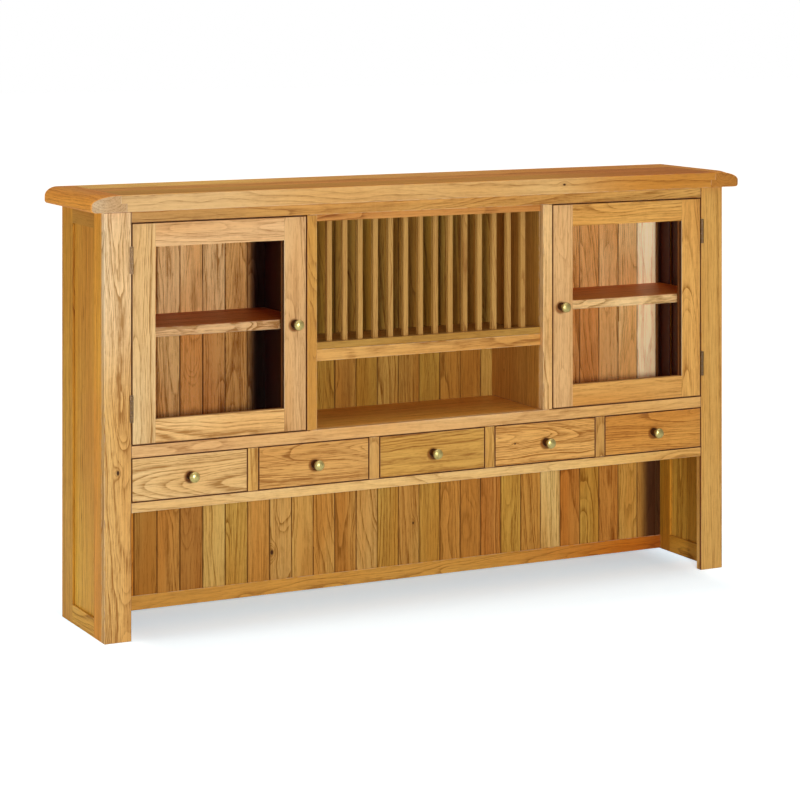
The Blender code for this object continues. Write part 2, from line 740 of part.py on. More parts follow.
def knob_profile():
    # Radius and distance from the wood, from the crown of the head down to the rose
    widest = KNOB_PROJECTION - KNOB_DOME
    points = []
    for step in range(6):
        turn = math.radians(90 - 18 * step)
        points.append((KNOB_HEAD_RADIUS * math.cos(turn), widest + KNOB_DOME * math.sin(turn)))
    for step in range(1, 4):
        turn = math.radians(25 * step)
        points.append((KNOB_NECK_RADIUS + (KNOB_HEAD_RADIUS - KNOB_NECK_RADIUS)
                       * math.cos(turn), widest - KNOB_UNDERCUT * math.sin(turn)))
    # The neck widens in a cove towards its foot on the rose
    collar = widest - KNOB_UNDERCUT
    for share in (0.1, 0.45, 0.7, 0.87, 1.0):
        points.append((KNOB_NECK_RADIUS + (KNOB_FOOT_RADIUS - KNOB_NECK_RADIUS) * share ** 3,
                       collar + (KNOB_ROSE_THICK - collar) * share))
    points.append((KNOB_ROSE_RADIUS, KNOB_ROSE_THICK - SEAT))
    points.append((KNOB_ROSE_RADIUS, SEAT))
    points.append((0.0, SEAT))
    points[0] = (0.0, KNOB_PROJECTION)
    return points


def make_knob(name, foot, parent):
    data = bpy.data.meshes.new(name)
    mesh = bmesh.new()
    line = [mesh.verts.new((radius, 0.0, height)) for radius, height in knob_profile()]
    for first, second in zip(line, line[1:]):
        mesh.edges.new((first, second))
    mesh.to_mesh(data)
    mesh.free()
    knob = bpy.data.objects.new(name, data)
    PARTS.objects.link(knob)
    place(knob, foot, parent)
    knob.rotation_euler = (math.radians(90), 0, 0)
    turned = knob.modifiers.new("Turned", "SCREW")
    turned.axis = "Z"
    turned.steps = KNOB_STEPS
    turned.render_steps = KNOB_STEPS
    turned.use_merge_vertices = True
    turned.merge_threshold = 0.00001
    turned.use_smooth_shade = True
    finish(knob, BRASS, 0.3, 1.0)


clear_scene()
PARTS = new_group("dresser_top")
TOOLS = new_group("cutters")

make_top_board()
make_face_rails()
make_deck()
make_drawer_floor()
make_back_boards()
make_back_rails()
make_rack_shelf()
make_plate_rack()
for side_name, side_sign in SIDES:
    make_top_end(side_name, side_sign)
    make_post(side_name, side_sign)
    make_mullion(side_name, side_sign)
    make_side(side_name, side_sign)
    make_partition(side_name, side_sign)
    make_shelf(side_name, side_sign)
make_door("left", -1, LEFT_KNOB_FROM_EDGE)
make_door("right", 1, RIGHT_KNOB_FROM_EDGE)
for drawer_number in range(1, DRAWER_COUNT + 1):
    make_drawer(drawer_number)
    if drawer_number < DRAWER_COUNT:
        make_divider(drawer_number)
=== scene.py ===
import math
import random

import bmesh
import bpy
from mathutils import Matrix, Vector


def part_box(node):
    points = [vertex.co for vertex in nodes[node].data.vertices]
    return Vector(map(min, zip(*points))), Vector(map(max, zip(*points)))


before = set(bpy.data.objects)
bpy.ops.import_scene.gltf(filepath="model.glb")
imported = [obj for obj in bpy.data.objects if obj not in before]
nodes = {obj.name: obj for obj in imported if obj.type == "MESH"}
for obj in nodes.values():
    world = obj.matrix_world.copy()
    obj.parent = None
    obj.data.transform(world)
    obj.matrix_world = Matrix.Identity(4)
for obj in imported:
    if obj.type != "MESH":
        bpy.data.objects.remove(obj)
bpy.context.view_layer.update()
print("frame loaded", len(nodes), "nodes")


# Node helpers


def feed(tree, value, socket):
    if isinstance(value, bpy.types.NodeSocket):
        tree.links.new(value, socket)
    elif socket.type == "RGBA" and len(value) == 3:
        socket.default_value = (*value, 1.0)
    else:
        socket.default_value = value


def put(tree, kind, inputs=None, **settings):
    made = tree.nodes.new(kind)
    for key, value in settings.items():
        setattr(made, key, value)
    for key, value in (inputs or {}).items():
        feed(tree, value, made.inputs[key])
    return made


def calc(tree, operation, *values, clamp=False):
    return put(tree, "ShaderNodeMath", dict(enumerate(values)), operation=operation,
               use_clamp=clamp).outputs[0]


def vec(tree, operation, *values):
    return put(tree, "ShaderNodeVectorMath", dict(enumerate(values)),
               operation=operation).outputs["Vector"]


def xyz(tree, vector):
    made = put(tree, "ShaderNodeSeparateXYZ", {"Vector": vector})
    return made.outputs["X"], made.outputs["Y"], made.outputs["Z"]


def join(tree, x, y, z):
    return put(tree, "ShaderNodeCombineXYZ", {"X": x, "Y": y, "Z": z}).outputs[0]


def blendColour(tree, amount, first, second, mode="MIX"):
    return put(tree, "ShaderNodeMix", {"Factor": amount, 6: first, 7: second},
               data_type="RGBA", blend_type=mode, clamp_factor=True).outputs[2]


def blendValue(tree, amount, first, second):
    return put(tree, "ShaderNodeMix", {"Factor": amount, 2: first, 3: second},
               data_type="FLOAT", clamp_factor=True).outputs[0]


def ramp(tree, value, low, high, out=(0.0, 1.0)):
    made = put(tree, "ShaderNodeMapRange", {"Value": value, "From Min": low, "From Max": high,
                                            "To Min": out[0], "To Max": out[1]},
               interpolation_type="SMOOTHSTEP")
    return made.outputs[0]


def distance(tree, a, b):
    return calc(tree, "SQRT", calc(tree, "ADD", calc(tree, "MULTIPLY", a, a),
                                   calc(tree, "MULTIPLY", b, b)))


def noise(tree, vector, detail, rough=0.5, colour=False):
    made = put(tree, "ShaderNodeTexNoise", {"Vector": vector, "Scale": 1.0, "Detail": detail,
                                            "Roughness": rough})
    return made.outputs["Color" if colour else "Fac"]


def newGroup(name, inputs, outputs):
    tree = bpy.data.node_groups.new(name, "ShaderNodeTree")
    kinds = {"f": "NodeSocketFloat", "v": "NodeSocketVector", "c": "NodeSocketColor"}
    for way, sockets in (("INPUT", inputs), ("OUTPUT", outputs)):
        for label, kind in sockets.items():
            tree.interface.new_socket(label, in_out=way, socket_type=kinds[kind])
    inside = tree.nodes.new("NodeGroupInput")
    outside = tree.nodes.new("NodeGroupOutput")
    return tree, inside.outputs, outside.inputs


def useGroup(tree, group, inputs):
    made = tree.nodes.new("ShaderNodeGroup")
    made.node_tree = group
    for key, value in inputs.items():
        feed(tree, value, made.inputs[key])
    return made.outputs


toneBalance = (0.94, 0.96, 0.915)  # evens out the hue that the lamps give to oak


def tone(red, green, blue):
    # A colour as it shows on a screen, made linear
    out = []
    for value in (red, green, blue):
        value = value / 255
        out.append(value / 12.92 if value <= 0.04045 else ((value + 0.055) / 1.055) ** 2.4)
    return tuple(c * g for c, g in zip(out, toneBalance))


def scaled(colour, *by):
    by = by * 3 if len(by) == 1 else by
    return tuple(c * b for c, b in zip(colour, by))


# Shared shader groups

# Marks made of noise: how fine it is across and along the grain, its detail, and the two
# levels of it that the mark runs between
woodNoise = dict(broken=((420.0, 22.0, 2.0), 0.36, 0.60), pores=((950.0, 30.0, 1.0), 0.55, 0.66),
                 broad=((9.0, 1.6, 2.0), 0.35, 0.65), fleck=((90.0, 330.0, 1.0), 0.60, 0.72),
                 dashes=((430.0, 48.0, 1.0), 0.54, 0.66))
# Marks that go both ways from a middle level, with the roughness of their noise too
woodStreaks = dict(fibre=((300.0, 9.0, 3.0, 0.7), 0.5), streak=((75.0, 1.9, 3.0, 0.6), 0.47))
# How far noise moves the rings, after how fine it is across and along
woodSway = ((4.0, 1.3, 2.6), (11.0, 5.0, 1.9), (45.0, 17.0, 0.30))
woodRings = dict(every=0.4, uneven=3.2, sharp=3.4, start=0.10, faintest=0.35,
                 broken=(0.75, 0.45), pores=(0.55, 0.14), groove=0.25)
woodKnot = dict(length=0.6, fall=-0.35, push=2.2, heart=(0.75, 0.35))
woodRough = (0.16, 0.40)
woodShift = (3.1, 1.7, 2.3)  # moves the noise from one board to the next
# How much each mark darkens the wood
woodMarks = dict(line=1.6, dashes=0.30, streak=1.5, fibre=2.3, all=0.06, fleck=-0.08, knot=0.35,
                 heart=(0.060, 0.022, 0.008))
noKnot = (0.0, 0.0, 0.0001)


def makeOakGroup():
    # Solid oak: u is across a board, v through it and w along the grain, in metres. Rings
    # are circles about a leaning, wavering pith line, so each face shows its own cut
    tree, given, result = newGroup(
        "oakGrain",
        {"Place": "v", "Light": "c", "Warm": "c", "Dark": "c", "Ring": "f", "PithU": "f",
         "PithV": "f", "TiltU": "f", "TiltV": "f", "Wave": "f", "Figure": "f", "Seed": "f",
         "KnotU": "f", "KnotW": "f", "KnotSize": "f"},
        {"Color": "c", "Roughness": "f", "Height": "f"})
    u, v, w = xyz(tree, given["Place"])
    seed = given["Seed"]
    shift = join(tree, *(calc(tree, "MULTIPLY", seed, by) for by in woodShift))

    def field(across, along, detail, rough=0.5, colour=False):
        spread = vec(tree, "MULTIPLY", given["Place"], (across, across, along))
        return noise(tree, vec(tree, "ADD", spread, shift), detail, rough, colour)

    def sway(source, channel, amount):
        part = xyz(tree, source)[channel]
        return calc(tree, "MULTIPLY", calc(tree, "SUBTRACT", part, 0.5), amount)

    def noiseMark(key):
        kind, *levels = woodNoise[key]
        return ramp(tree, field(*kind), *levels)

    uu = calc(tree, "MULTIPLY_ADD", given["TiltU"], w, calc(tree, "SUBTRACT", u, given["PithU"]))
    vv = calc(tree, "MULTIPLY_ADD", given["TiltV"], w, calc(tree, "SUBTRACT", v, given["PithV"]))
    # The pith wanders slowly, the grain sways about it and the fibres waver a little
    for across, along, amount in woodSway:
        wander = field(across, along, 1.0, colour=True)
        reach = calc(tree, "MULTIPLY", given["Wave"], amount)
        uu = calc(tree, "ADD", uu, sway(wander, 0, reach))
        vv = calc(tree, "ADD", vv, sway(wander, 1, reach))
    far = distance(tree, uu, vv)
    # A knot pushes the rings aside and has a dark heart
    ku = calc(tree, "SUBTRACT", u, given["KnotU"])
    kw = calc(tree, "MULTIPLY", calc(tree, "SUBTRACT", w, given["KnotW"]), woodKnot["length"])
    kd = calc(tree, "DIVIDE", distance(tree, ku, kw), given["KnotSize"])
    bell = calc(tree, "MULTIPLY", calc(tree, "MULTIPLY", kd, kd), woodKnot["fall"])
    bell = calc(tree, "EXPONENT", bell)
    push = calc(tree, "MULTIPLY", given["KnotSize"], woodKnot["push"])
    far = calc(tree, "MULTIPLY_ADD", bell, push, far)
    heart = ramp(tree, kd, *woodKnot["heart"])
    count = calc(tree, "DIVIDE", far, given["Ring"])
    uneven = calc(tree, "MULTIPLY_ADD", count, woodRings["every"], seed)
    uneven = put(tree, "ShaderNodeTexNoise", {"W": uneven, "Scale": 1.0, "Detail": 1.0},
                 noise_dimensions="1D").outputs["Fac"]
    count = calc(tree, "MULTIPLY_ADD", uneven, woodRings["uneven"], count)
    phase = calc(tree, "FRACT", count)
    each = put(tree, "ShaderNodeTexWhiteNoise",
               {"W": calc(tree, "ADD", calc(tree, "FLOOR", count), seed)},
               noise_dimensions="1D").outputs["Value"]
    line = calc(tree, "POWER", calc(tree, "SUBTRACT", 1.0, phase), woodRings["sharp"])
    line = calc(tree, "MULTIPLY", line, ramp(tree, phase, 0.0, woodRings["start"]))
    line = calc(tree, "MULTIPLY", line, calc(tree, "ADD", each, woodRings["faintest"]))
    # The ring lines are rows of open pores, so they break up along the grain
    broken, pores, broad, fleck, dashes = (noiseMark(key) for key in woodNoise)
    line = calc(tree, "MULTIPLY", line,
                calc(tree, "MULTIPLY_ADD", broken, *woodRings["broken"]))
    mask = calc(tree, "MULTIPLY", line, woodMarks["line"])
    mask = calc(tree, "MULTIPLY_ADD", dashes, woodMarks["dashes"], mask)
    for key, (kind, middle) in woodStreaks.items():
        both = calc(tree, "SUBTRACT", field(*kind), middle)
        mask = calc(tree, "MULTIPLY_ADD", both, woodMarks[key], mask)
    mask = calc(tree, "ADD", mask, woodMarks["all"])
    mask = calc(tree, "MULTIPLY", mask, given["Figure"])
    open_ = calc(tree, "MULTIPLY", pores, calc(tree, "MULTIPLY_ADD", line, *woodRings["pores"]))
    mask = calc(tree, "ADD", mask, open_)
    mask = calc(tree, "MULTIPLY_ADD", fleck, woodMarks["fleck"], mask)
    mask = calc(tree, "ADD", mask, calc(tree, "MULTIPLY", bell, woodMarks["knot"]), clamp=True)
    ground = blendColour(tree, broad, given["Light"], given["Warm"])
    colour = blendColour(tree, mask, ground, given["Dark"])
    colour = blendColour(tree, heart, colour, woodMarks["heart"])
    tree.links.new(colour, result["Color"])
    tree.links.new(calc(tree, "MULTIPLY_ADD", mask, *woodRough), result["Roughness"])
    depth = calc(tree, "MULTIPLY_ADD", line, woodRings["groove"], open_)
    tree.links.new(calc(tree, "SUBTRACT", 1.0, depth, clamp=True), result["Height"])
    return tree


def makeBoxMask():
    # 1 inside the box from Low to High
    tree, given, result = newGroup("boxMask", {"Place": "v", "Low": "v", "High": "v"},
                                   {"Mask": "f"})
    low = vec(tree, "SUBTRACT", given["Place"], given["Low"])
    high = vec(tree, "SUBTRACT", given["High"], given["Place"])
    x, y, z = xyz(tree, vec(tree, "MINIMUM", low, high))
    least = calc(tree, "MINIMUM", x, calc(tree, "MINIMUM", y, z))
    tree.links.new(calc(tree, "GREATER_THAN", least, 0.0), result["Mask"])
    return tree


# A paler arris, partly wear and partly a painted highlight, and darkening near it, partly dirt
# and partly painted shade: how far in, and the levels of noise they run between
arrisSettings = dict(noise=(60.0, 60.0, 60.0), Mask=(0.0022, 0.35, 0.62), DirtAndShade=(0.022, 0.30, 0.75))


def makeArrisGroup():
    # How near a point is to an edge of its board: 1 on the arris, 0 a little way in
    tree, given, result = newGroup("arrisMarks", {"Place": "v", "Low": "v", "High": "v"},
                                   {"Mask": "f", "DirtAndShade": "f"})
    low = vec(tree, "SUBTRACT", given["Place"], given["Low"])
    high = vec(tree, "SUBTRACT", given["High"], given["Place"])
    x, y, z = xyz(tree, vec(tree, "MINIMUM", low, high))
    inner = calc(tree, "MAXIMUM", calc(tree, "MINIMUM", x, y),
                 calc(tree, "MINIMUM", calc(tree, "MAXIMUM", x, y), z))
    rough = noise(tree, vec(tree, "MULTIPLY", given["Place"], arrisSettings["noise"]), 3.0)
    for label in ("Mask", "DirtAndShade"):
        reach, *levels = arrisSettings[label]
        mark = calc(tree, "MULTIPLY", ramp(tree, inner, reach, 0.0), ramp(tree, rough, *levels))
        tree.links.new(mark, result[label])
    return tree


oakGroup = makeOakGroup()
boxMask = makeBoxMask()
arrisGroup = makeArrisGroup()


# Oak materials

swizzle = {"X": (2, 1, 0), "Y": (0, 2, 1), "Z": (0, 1, 2)}  # across, through and along
oak = dict(specular=0.18, bump=0.25, bumpDepth=0.0006, wearAndHighlight=0.5, wearHighlightBlend=0.55,
           wearHighlightTint=(1.0, 0.86, 0.62), dirtAndShade=0.16, dirtAndShadeTint=(0.30, 0.13, 0.04),
           line=(0.10, 0.040, 0.010), turn=(0.55, 0.85), light=(1.20, 1.21, 1.25),
           warm=(1.10, 0.97, 0.82), dark=(0.53, 0.37, 0.20), end=(0.66, 0.56, 0.45),
           wave=0.007, figure=0.62)


def newMaterial(name):
    material = bpy.data.materials.new(name)
    material.use_nodes = True
    tree = material.node_tree
    place = put(tree, "ShaderNodeTexCoord")
    return (material, tree, tree.nodes["Principled BSDF"], place.outputs["Object"],
            place.outputs["Normal"])


def feedShader(tree, shader, colour, roughness, height, bump, bumpDepth):
    tree.links.new(colour, shader.inputs["Base Color"])
    tree.links.new(roughness, shader.inputs["Roughness"])
    made = put(tree, "ShaderNodeBump", {"Height": height, "Strength": bump,
                                        "Distance": bumpDepth})
    tree.links.new(made.outputs["Normal"], shader.inputs["Normal"])


def inBox(tree, place, low, high):
    return useGroup(tree, boxMask, {"Place": place, "Low": low, "High": high})["Mask"]


def layBoard(tree, place, box, under, over):
    # Inside the box, one board's colour, roughness and height take the place of another's
    mask = inBox(tree, place, *box)
    return (blendColour(tree, mask, under[0], over[0]), blendValue(tree, mask, under[1], over[1]),
            blendValue(tree, mask, under[2], over[2]))


def boardColour(tree, place, facing, low, high, board):
    # One board's colour, roughness and height. Settings that a board leaves out come from
    # its seed or from oak, and any of them may be a socket
    grain = board.get("grain", "Z")
    order = board.get("order", swizzle[grain])
    chance = random.Random(str(board.get("seed", 0)))
    middle = [(a + b) / 2 for a, b in zip(low, high)]
    wide = high[order[0]] - low[order[0]]
    local = xyz(tree, vec(tree, "SUBTRACT", place, tuple(middle)))
    across = board.get("across", local[order[0]])
    spot = join(tree, across, local[order[1]], local[order[2]])
    pith = board.get("pith", (wide * chance.uniform(-0.5, 0.5), chance.uniform(0.02, 0.06)))
    tilt = board.get("tilt", (chance.uniform(-0.04, 0.04), chance.uniform(-0.05, 0.05)))
    base = board["tone"]
    light = board.get("light", scaled(base, *oak["light"]))
    warm = board.get("warm", scaled(base, *oak["warm"]))
    dark = board.get("dark", scaled(base, *oak["dark"]))
    knot = board.get("knot", noKnot)
    made = useGroup(tree, oakGroup, {
        "Place": spot, "Light": light, "Warm": warm, "Dark": dark,
        "Ring": board.get("ring", chance.uniform(0.0045, 0.0075)),
        "PithU": pith[0], "PithV": pith[1], "TiltU": tilt[0], "TiltV": tilt[1],
        "Wave": board.get("wave", oak["wave"]), "Figure": board.get("figure", oak["figure"]),
        "Seed": board.get("number", chance.uniform(0, 40)),
        "KnotU": knot[0], "KnotW": knot[1], "KnotSize": knot[2]})
    # End grain is darker. Some boards have light and shade painted on some faces, and some get
    # lighter or darker along their length
    sides = xyz(tree, facing)
    masks = [(calc(tree, "ABSOLUTE", sides["XYZ".index(grain)]),
              board.get("end", oak["end"]), *oak["turn"])]
    for key, shade in board.get("faces", {}).items():
        way = 1.0 if key[1] == "+" else -1.0
        masks.append((calc(tree, "MULTIPLY", sides["xyz".index(key[0])], way), shade,
                      *oak["turn"]))
    for axis, start, end, shade in board.get("fades", ()):
        masks.append((xyz(tree, place)["xyz".index(axis)], shade, start, end))
    colour = made["Color"]
    for value, shade, start, end in masks:
        colour = blendColour(tree, ramp(tree, value, start, end), colour, shade, "MULTIPLY")
    return colour, made["Roughness"], made["Height"]


def oakMaterial(name, low, high, boards, lines=(), rough=0.0, finish=None):
    # The first board fills the piece and the others lie over it. A line is a box with its
    # strength and colour, and one that has no colour is a cut
    material, tree, shader, place, facing = newMaterial(name)
    parts = None
    for board in boards:
        box = board.get("box", (low, high))
        over = boardColour(tree, place, facing, *box, board)
        parts = layBoard(tree, place, box, parts, over) if parts else over
    colour, roughness, height = parts
    if finish:
        colour = finish(tree, place, facing, colour)
    # The arris is made paler, partly by wear and partly as a painted highlight, and a little way
    # in it is made darker, partly by dirt and partly as painted shade
    wearAndHighlight = useGroup(tree, arrisGroup, {"Place": place, "Low": low, "High": high})
    pale = blendColour(tree, oak["wearHighlightBlend"], colour, oak["wearHighlightTint"])
    colour = blendColour(tree, calc(tree, "MULTIPLY", wearAndHighlight["Mask"], oak["wearAndHighlight"]), colour, pale)
    colour = blendColour(tree, calc(tree, "MULTIPLY", wearAndHighlight["DirtAndShade"], oak["dirtAndShade"]), colour,
                         oak["dirtAndShadeTint"])
    for lineLow, lineHigh, strength, *shade in lines:
        mask = calc(tree, "MULTIPLY", inBox(tree, place, lineLow, lineHigh), strength)
        colour = blendColour(tree, mask, colour, shade[0] if shade else oak["line"])
        if not shade:
            height = calc(tree, "SUBTRACT", height, mask)
    shader.inputs["Specular IOR Level"].default_value = oak["specular"]
    feedShader(tree, shader, colour, calc(tree, "ADD", roughness, rough), height, oak["bump"],
               oak["bumpDepth"])
    return material


def dress(name, material):
    obj = nodes[name]
    obj.data.materials.clear()
    obj.data.materials.append(material)


def oakNode(name, boards, lines=(), **settings):
    low, high = (tuple(corner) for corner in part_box(name))
    if isinstance(boards, dict):
        boards = [boards]
    dress(name, oakMaterial(name, low, high, boards, lines, **settings))


# Width, strength and colour of the painted shade along a gap, and how far behind the front it
# goes
gapShade = ((0.0017, 0.34, (0.30, 0.085, 0.010)), (0.0008, 0.92, (0.12, 0.026, 0.002)))
gapDepth = 0.006
# A shadow painted round each knob on the wood
knobShadow = dict(drop=0.0035, outer=0.0185, inner=0.0120, strength=0.85,
                 shade=(0.20, 0.052, 0.005))
sliceMargin = 0.001


def gapEdges(name, sides, start=None, end=None):
    # The edges that face a running gap, painted dark as the shade in the gap. sides is such as
    # "x- z+", and start and end limit them along the board
    low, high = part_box(name)
    found = []
    for axis, way in sides.split():
        index = "xz".index(axis) * 2
        for wide, strength, shade in gapShade:
            edgeLow = [low.x - 1, low.y - 1, low.z - 1]
            edgeHigh = [high.x + 1, low.y + gapDepth, high.z + 1]
            if way == "-":
                edgeHigh[index] = low[index] + wide
            else:
                edgeLow[index] = high[index] - wide
            if start is not None:
                edgeLow[2 - index] = start
            if end is not None:
                edgeHigh[2 - index] = end
            found.append((tuple(edgeLow), tuple(edgeHigh), strength, shade))
    return found


def stained(knob):
    # A shadow painted round the foot of a knob, most of it below
    low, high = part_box(knob)
    middle = (low.x + high.x) / 2, 0.0, (low.z + high.z) / 2 - knobShadow["drop"]

    def finish(tree, place, facing, colour):
        x, y, z = xyz(tree, vec(tree, "SUBTRACT", place, middle))
        near = ramp(tree, distance(tree, x, z), knobShadow["outer"], knobShadow["inner"])
        front = ramp(tree, xyz(tree, facing)[1], -0.5, -0.8)
        mask = calc(tree, "MULTIPLY", calc(tree, "MULTIPLY", near, front), knobShadow["strength"])
        return blendColour(tree, mask, colour, knobShadow["shade"])
    return finish


def part(name, axis, start=None, end=None):
    # A slice of a node's box: from start to end metres in along an axis, negative from its
    # far side
    index = "XYZ".index(axis)
    low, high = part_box(name)
    near, far = low[index], high[index]
    low = [value - sliceMargin for value in low]
    high = [value + sliceMargin for value in high]
    if start is not None:
        low[index] = near + start if start >= 0 else far + start
    if end is not None:
        high[index] = near + end if end > 0 else far + end
    return tuple(low), tuple(high)


# The face frame, posts and top

faceFrame = {
    "left_post": dict(tone=tone(230, 196, 152), seed=3, pith=(0.012, 0.030), tilt=(0.02, 0.035),
                      knot=(0.0, -0.105, 0.006), ring=0.0052, wave=0.012, figure=0.85,
                      fades=[("z", 0.80, 0.50, (0.84, 0.67, 0.37))]),
    "right_post": dict(tone=tone(212, 160, 86), seed=8, pith=(0.20, 0.05), wave=0.004,
                       figure=0.42),
    "top_rail": dict(tone=tone(205, 151, 80), seed=11, grain="X", figure=0.6,
                     fades=[("x", -0.30, -0.60, (0.80, 0.80, 0.86)),
                            ("x", 0.30, 0.60, (1.05, 1.09, 1.10))]),
    "middle_rail": dict(tone=tone(218, 170, 112), seed=12, grain="X", figure=0.45,
                        fades=[("x", -0.30, -0.60, (0.95, 0.92, 0.93)),
                               ("x", 0.25, 0.55, (1.02, 0.98, 0.82))]),
    "lower_rail": dict(tone=tone(221, 177, 114), seed=13, grain="X", figure=0.45,
                       fades=[("x", -0.20, -0.60, (1.0, 1.05, 1.18)),
                              ("x", 0.20, 0.60, (1.04, 0.97, 0.80))]),
    "left_mullion": dict(tone=tone(195, 141, 67), seed=14, figure=0.5),
    "right_mullion": dict(tone=tone(223, 177, 119), seed=15, pith=(0.0, 0.025), tilt=(0.03, 0.03),
                          wave=0.011, figure=0.75),
}
doorInner = 0.33  # the doors' gaps start this far out
gaps = {
    "left_post": [("x+",)], "right_post": [("x-",)], "left_mullion": [("x-",)],
    "right_mullion": [("x+",)], "lower_rail": [("z+",)],
    "top_rail": [("z-", None, -doorInner), ("z-", doorInner, None)],
    "middle_rail": [("z-",), ("z+", None, -doorInner), ("z+", doorInner, None)],
}
# Strength and colour of the painted shadow just under the top
underTopShadow = {"top_rail": (0.42, (0.36, 0.13, 0.03)), "left_post": (0.70, (0.24, 0.07, 0.02)),
            "right_post": (0.45, (0.36, 0.13, 0.03))}
underHeight, underDepth = 0.0032, 0.004
for nodeName, board in faceFrame.items():
    edges = [edge for entry in gaps[nodeName] for edge in gapEdges(nodeName, *entry)]
    if nodeName in underTopShadow:
        low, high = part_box(nodeName)
        edges.append(((low.x - 1, low.y - 1, high.z - underHeight),
                      (high.x + 1, low.y + underDepth, high.z + 1), *underTopShadow[nodeName]))
    oakNode(nodeName, board, edges)

# The top is glued up from three boards. The joints are so far from its front
topJoint = dict(front=0.120, middle=(0.122, 0.215))
topBoard = dict(grain="X", order=(1, 2, 0), figure=0.85)
oakNode("top_board", [
    dict(topBoard, tone=tone(239, 175, 88), seed=21,
         fades=[("x", -0.10, -0.45, (1.15, 1.28, 1.32)), ("x", 0.15, 0.45, (0.95, 0.82, 0.62))]),
    dict(topBoard, tone=tone(232, 160, 72), seed=22,
         box=part("top_board", "Y", *topJoint["middle"]),
         fades=[("x", 0.10, 0.70, (0.80, 0.60, 0.40))]),
    # This board's upper face is painted darker, as shade on it
    dict(grain="X", tone=tone(210, 167, 109), seed=23, figure=0.45, pith=(0.05, 0.09),
         box=part("top_board", "Y", None, topJoint["front"]), tilt=(0.004, 0.012),
         faces={"z+": (0.94, 0.67, 0.17)}, knot=(0.003, 0.362, 0.0045),
         fades=[("x", -0.30, -0.60, (1.02, 1.14, 1.45)), ("x", 0.25, 0.62, (0.90, 0.65, 0.29))])])
for side, seed, endShade in (("left", 28, (0.71, 1.21, 5.2)), ("right", 29, (0.61, 0.61, 0.80))):
    oakNode("top_end_" + side, dict(tone=tone(227, 149, 56), grain="Y", seed=seed, end=endShade,
                                    figure=0.5))
print("face frame and top")

# Sides: a frame of stiles and rails round a panel

sideTones = dict(stile=tone(223, 155, 52), rear=tone(206, 148, 51), rail=tone(180, 125, 45),
                 low=tone(215, 161, 61), panel=tone(206, 144, 52))
# Widths of the stiles, and the heights between which each rail lies
sideCut = dict(stile=0.0497, rear=0.0745, low=(-0.01, 0.0451), rail=(0.948, 1.0))
# Painted shade inside the right-hand wall: heights, skin, how far back, strength and colour
wallShade = dict(z=(0.44, 1.1), skin=0.0012, back=0.127, strength=0.97,
                 shade=(0.080, 0.010, 0.006))


def wall(name):
    # Deep shade painted on the right-hand wall behind its door
    if name.startswith("left"):
        return []
    low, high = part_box(name)
    bottom, top = wallShade["z"]
    return [((low.x - 1, low.y - 1, bottom),
             (low.x + wallShade["skin"], wallShade["back"], top),
             wallShade["strength"], wallShade["shade"])]


def sideRail(key, low, high, seed):
    bottom, top = sideCut[key]
    return dict(tone=sideTones[key], seed=seed, grain="Y",
                box=((low.x - 1, low.y + sideCut["stile"], bottom),
                     (high.x + 1, high.y - sideCut["rear"], top)))


# The right panel's inner face has a painted light of its own, a little bluer
for side, seed, innerFaceLight in (("left", 31, (1.0, 1.0, 1.0)), ("right", 41, (0.95, 1.0, 1.20))):
    name = side + "_side_frame"
    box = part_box(name)
    oakNode(name, [
        dict(tone=sideTones["stile"], seed=seed, box=part(name, "Y", None, sideCut["stile"])),
        dict(tone=sideTones["rear"], seed=seed + 1, box=part(name, "Y", -sideCut["rear"], None)),
        sideRail("low", *box, seed + 2), sideRail("rail", *box, seed + 3)], wall(name))
    oakNode(side + "_side_panel",
            dict(tone=sideTones["panel"], seed=seed + 4, ring=0.006, pith=(0.004, 0.02),
                 tilt=(0.0, 0.04), faces={"x-": innerFaceLight},
                 fades=[("z", 0.50, 0.10, (1.20, 1.46, 1.52))]),
            wall(side + "_side_panel"))
print("sides")

# Inside boards

# Shade is painted on the left partition's face towards the left cupboard and on the tops of the
# shelves
inside = {
    "left_partition": dict(tone=tone(190, 130, 66), seed=51, faces={"x-": (0.12, 0.03, 0.05)}),
    "right_partition": dict(tone=tone(196, 140, 64), seed=52),
    "left_shelf": dict(tone=tone(224, 178, 128), grain="X", seed=53, ring=0.005, wave=0.020,
                       figure=1.3, pith=(0.0, 0.012), faces={"z+": (0.85, 0.30, 0.04)}),
    "right_shelf": dict(tone=tone(252, 208, 149), grain="X", seed=54, ring=0.005, wave=0.016,
                        figure=0.6, pith=(0.0, 0.012), faces={"z+": (0.82, 0.33, 0.05)}),
    "rack_shelf": dict(tone=tone(205, 151, 83), grain="X", seed=55, wave=0.010,
                       faces={"z+": (0.75, 0.72, 0.60)}),
    "deck": dict(tone=tone(222, 156, 68), grain="X", seed=56, ring=0.005, wave=0.012),
    "drawer_floor": dict(tone=tone(190, 135, 75), grain="X", seed=57),
}
for nodeName, board in inside.items():
    oakNode(nodeName, board)
# The front of a divider is a strip of its own in the face frame
dividerFronts = ((213, 165, 92), (202, 154, 89), (205, 157, 84), (197, 145, 77))
dividerStrip = 0.0205
for number, front in enumerate(dividerFronts, 1):
    name = "drawer_divider_%d" % number
    oakNode(name, [
        dict(tone=tone(188, 132, 70), grain="Y", seed=60 + number),
        dict(tone=tone(*front), seed=64 + number, box=part(name, "Y", None, dividerStrip))],
        gapEdges(name, "x- x+"))
print("inside boards")

# The back: tongue-and-groove boards, each with its own tone and cut

